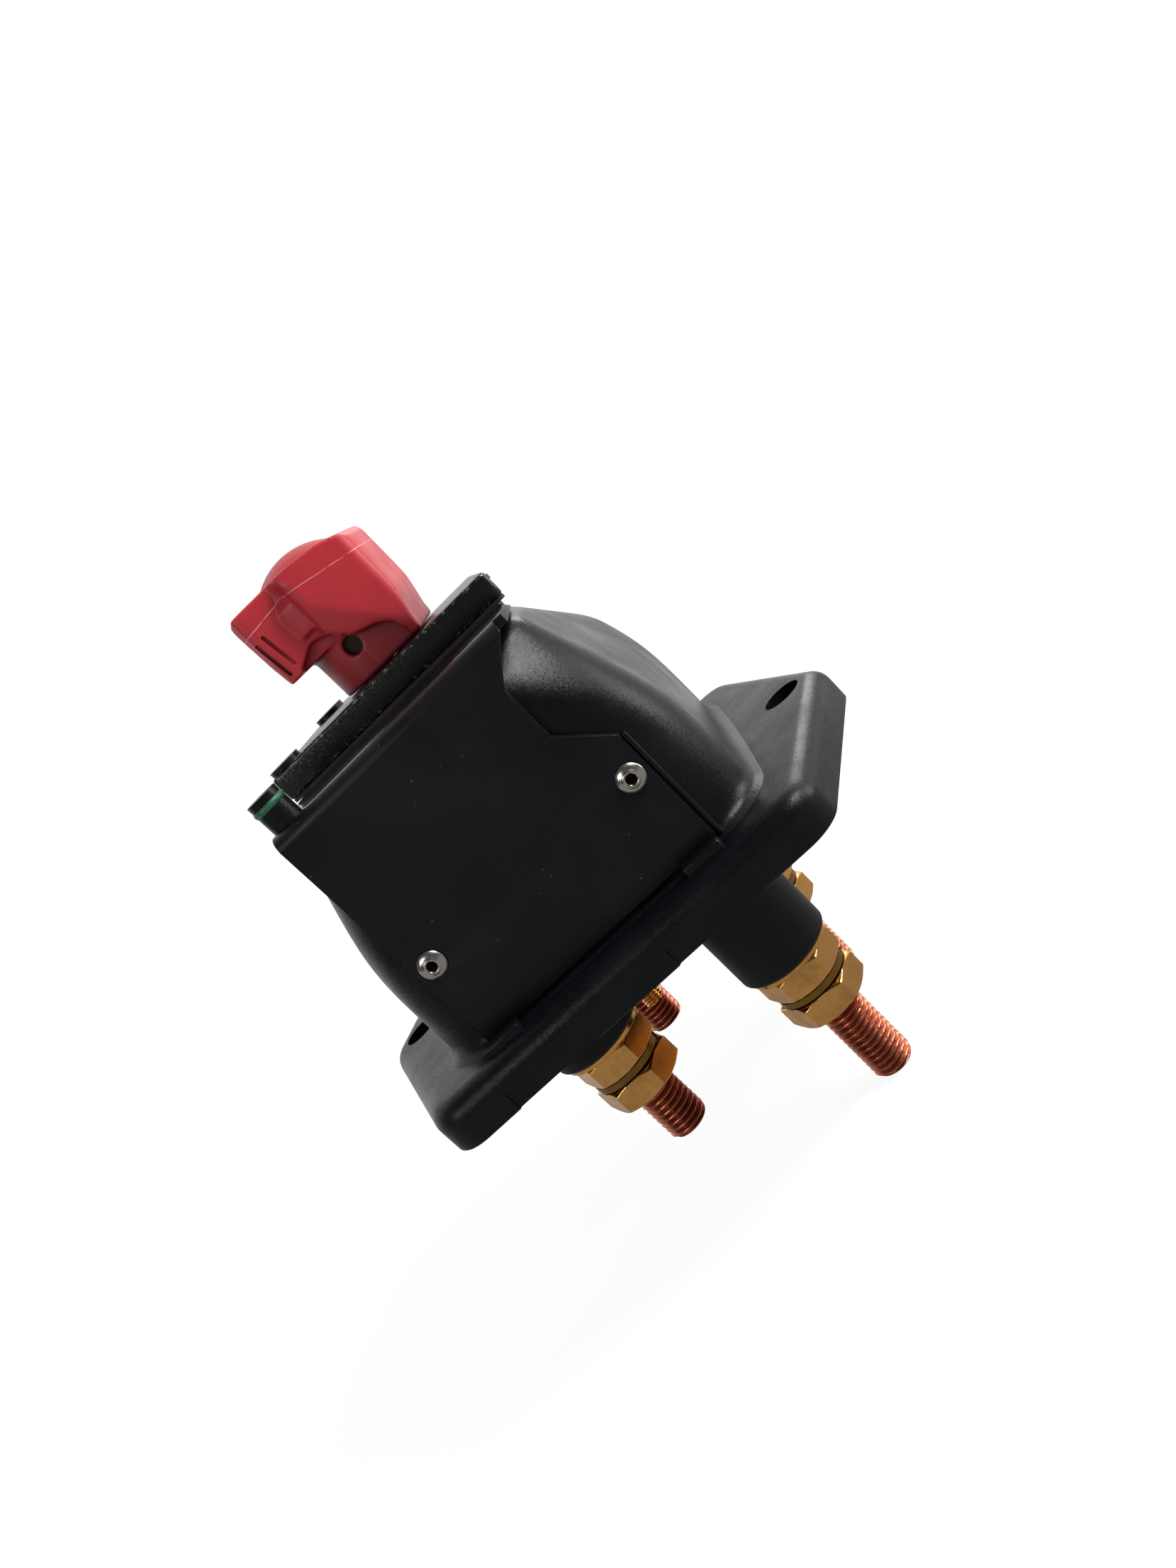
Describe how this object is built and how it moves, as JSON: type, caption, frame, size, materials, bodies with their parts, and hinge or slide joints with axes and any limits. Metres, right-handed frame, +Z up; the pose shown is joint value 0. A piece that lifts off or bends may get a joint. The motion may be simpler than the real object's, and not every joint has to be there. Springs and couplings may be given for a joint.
{
  "type": "battery disconnect switch",
  "caption": "Two-pole battery disconnect switch: eared moulded housing, sheet cover, face plate, turning red handle, and staggered copper terminal studs with brass nuts below.",
  "frame": {"origin": "midway between the two ear holes, on the underside of the mounting ears", "axes": "+Z up along the handle's shaft, +X towards the ear beside the long studs, -Y towards the side shown in the picture"},
  "size_m": [0.1336, 0.108, 0.1668],
  "materials": {
    "black_moulding": "satin moulded thermoset, fine grain",
    "black_rubber": "matt",
    "zinc_steel": "zinc plated",
    "copper": "copper, machined thread",
    "silver": "silver alloy",
    "brass": "bright, lightly scratched",
    "black_paint": "black satin paint on sheet",
    "nickel": "nickel plated",
    "fibre": "vulcanised fibre",
    "black_casting": "coarse black coat, worn bright edges",
    "green_rubber": "satin",
    "red_moulding": "red moulding, soft sheen",
    "brown_moulding": "moulded thermoset"
  },
  "bodies": {
    "body": {"housing": "black_moulding", "base_gasket": "black_rubber", "terminal_base": "black_moulding", "base_screws": "zinc_steel", "long_studs": "copper", "short_studs": "copper", "fixed_contacts": "silver", "flat_washers": "brass", "inner_nuts": "brass", "spring_washers": "brass", "outer_nuts": "brass", "aux_screw": "brass", "aux_washer": "copper", "guide_rods": "zinc_steel", "cover_bracket": "black_paint", "bracket_rivets": "nickel", "plate_gasket": "fibre", "face_plate": "black_casting", "plate_screws": "zinc_steel", "seal_plug": "black_moulding", "plug_ring": "green_rubber", "shaft_bush": "brass", "shaft_seal": "black_rubber", "thrust_washer": "zinc_steel"},
    "rotor": {"handle": "red_moulding", "handle_pin": "zinc_steel", "drive_shaft": "zinc_steel", "cam_rotor": "zinc_steel", "cam_pin": "zinc_steel"},
    "carrier": {"contact_carrier": "brown_moulding", "bridge_contacts": "copper", "moving_contacts": "silver", "contact_springs": "zinc_steel", "return_springs": "zinc_steel"}
  },
  "joints": [
    {"name": "handle_turn", "type": "hinge", "parent": "body", "child": "rotor", "pos_m": [0, 0, 0.0757], "axis": [0, 0, -1], "range_deg": [0, 90]},
    {"name": "carrier_slide", "type": "slide", "parent": "body", "child": "carrier", "axis": [0, 0, -1], "range_m": [0, 0.006], "deforming": ["return_springs"]}
  ],
  "couplings": [
    {"joint": "handle_turn", "follows": "carrier_slide", "rad_per_m": 261.79}
  ]
}
